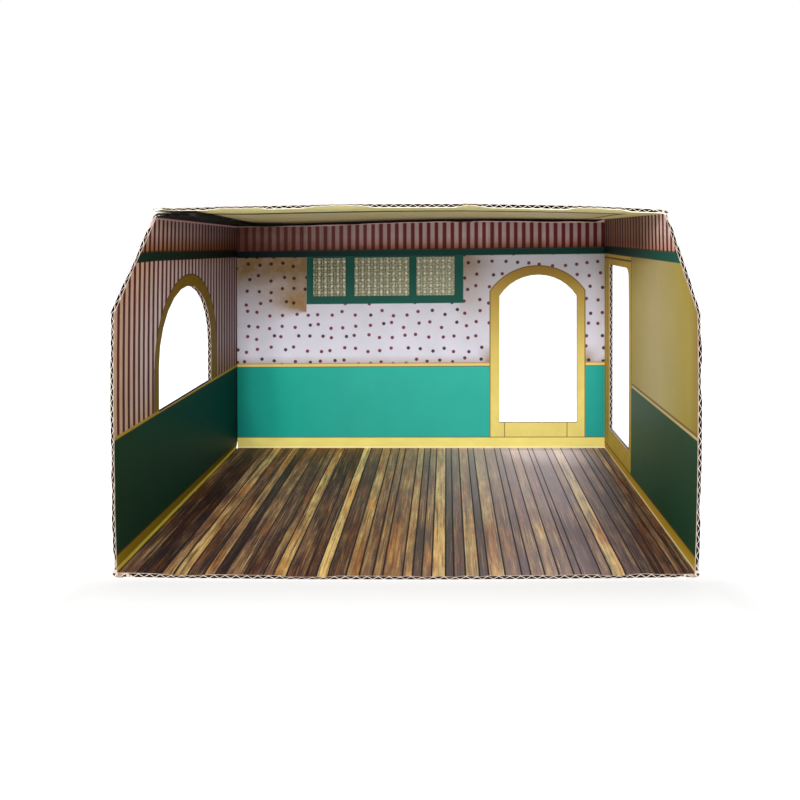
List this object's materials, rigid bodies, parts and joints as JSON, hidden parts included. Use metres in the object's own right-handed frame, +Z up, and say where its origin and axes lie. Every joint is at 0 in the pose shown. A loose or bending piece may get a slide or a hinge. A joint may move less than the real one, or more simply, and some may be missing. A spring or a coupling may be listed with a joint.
{
  "type": "cardboard dollhouse",
  "caption": "Open-fronted dollhouse room folded from a die-cut sheet of printed corrugated cardboard, with slanted upper corners, an arched window and doorways.",
  "frame": {"origin": "under the middle of the box, on the surface that it stands on", "axes": "+X to the right when one looks into the open front, +Y from the open front to the back wall, +Z up"},
  "size_m": [0.3602, 0.2466, 0.2279],
  "materials": {
    "printed_board": "matt to satin print inside, bare light board outside and at the cut edges"
  },
  "bodies": {
    "root": {"folded_sheet": "printed_board"}
  },
  "joints": []
}
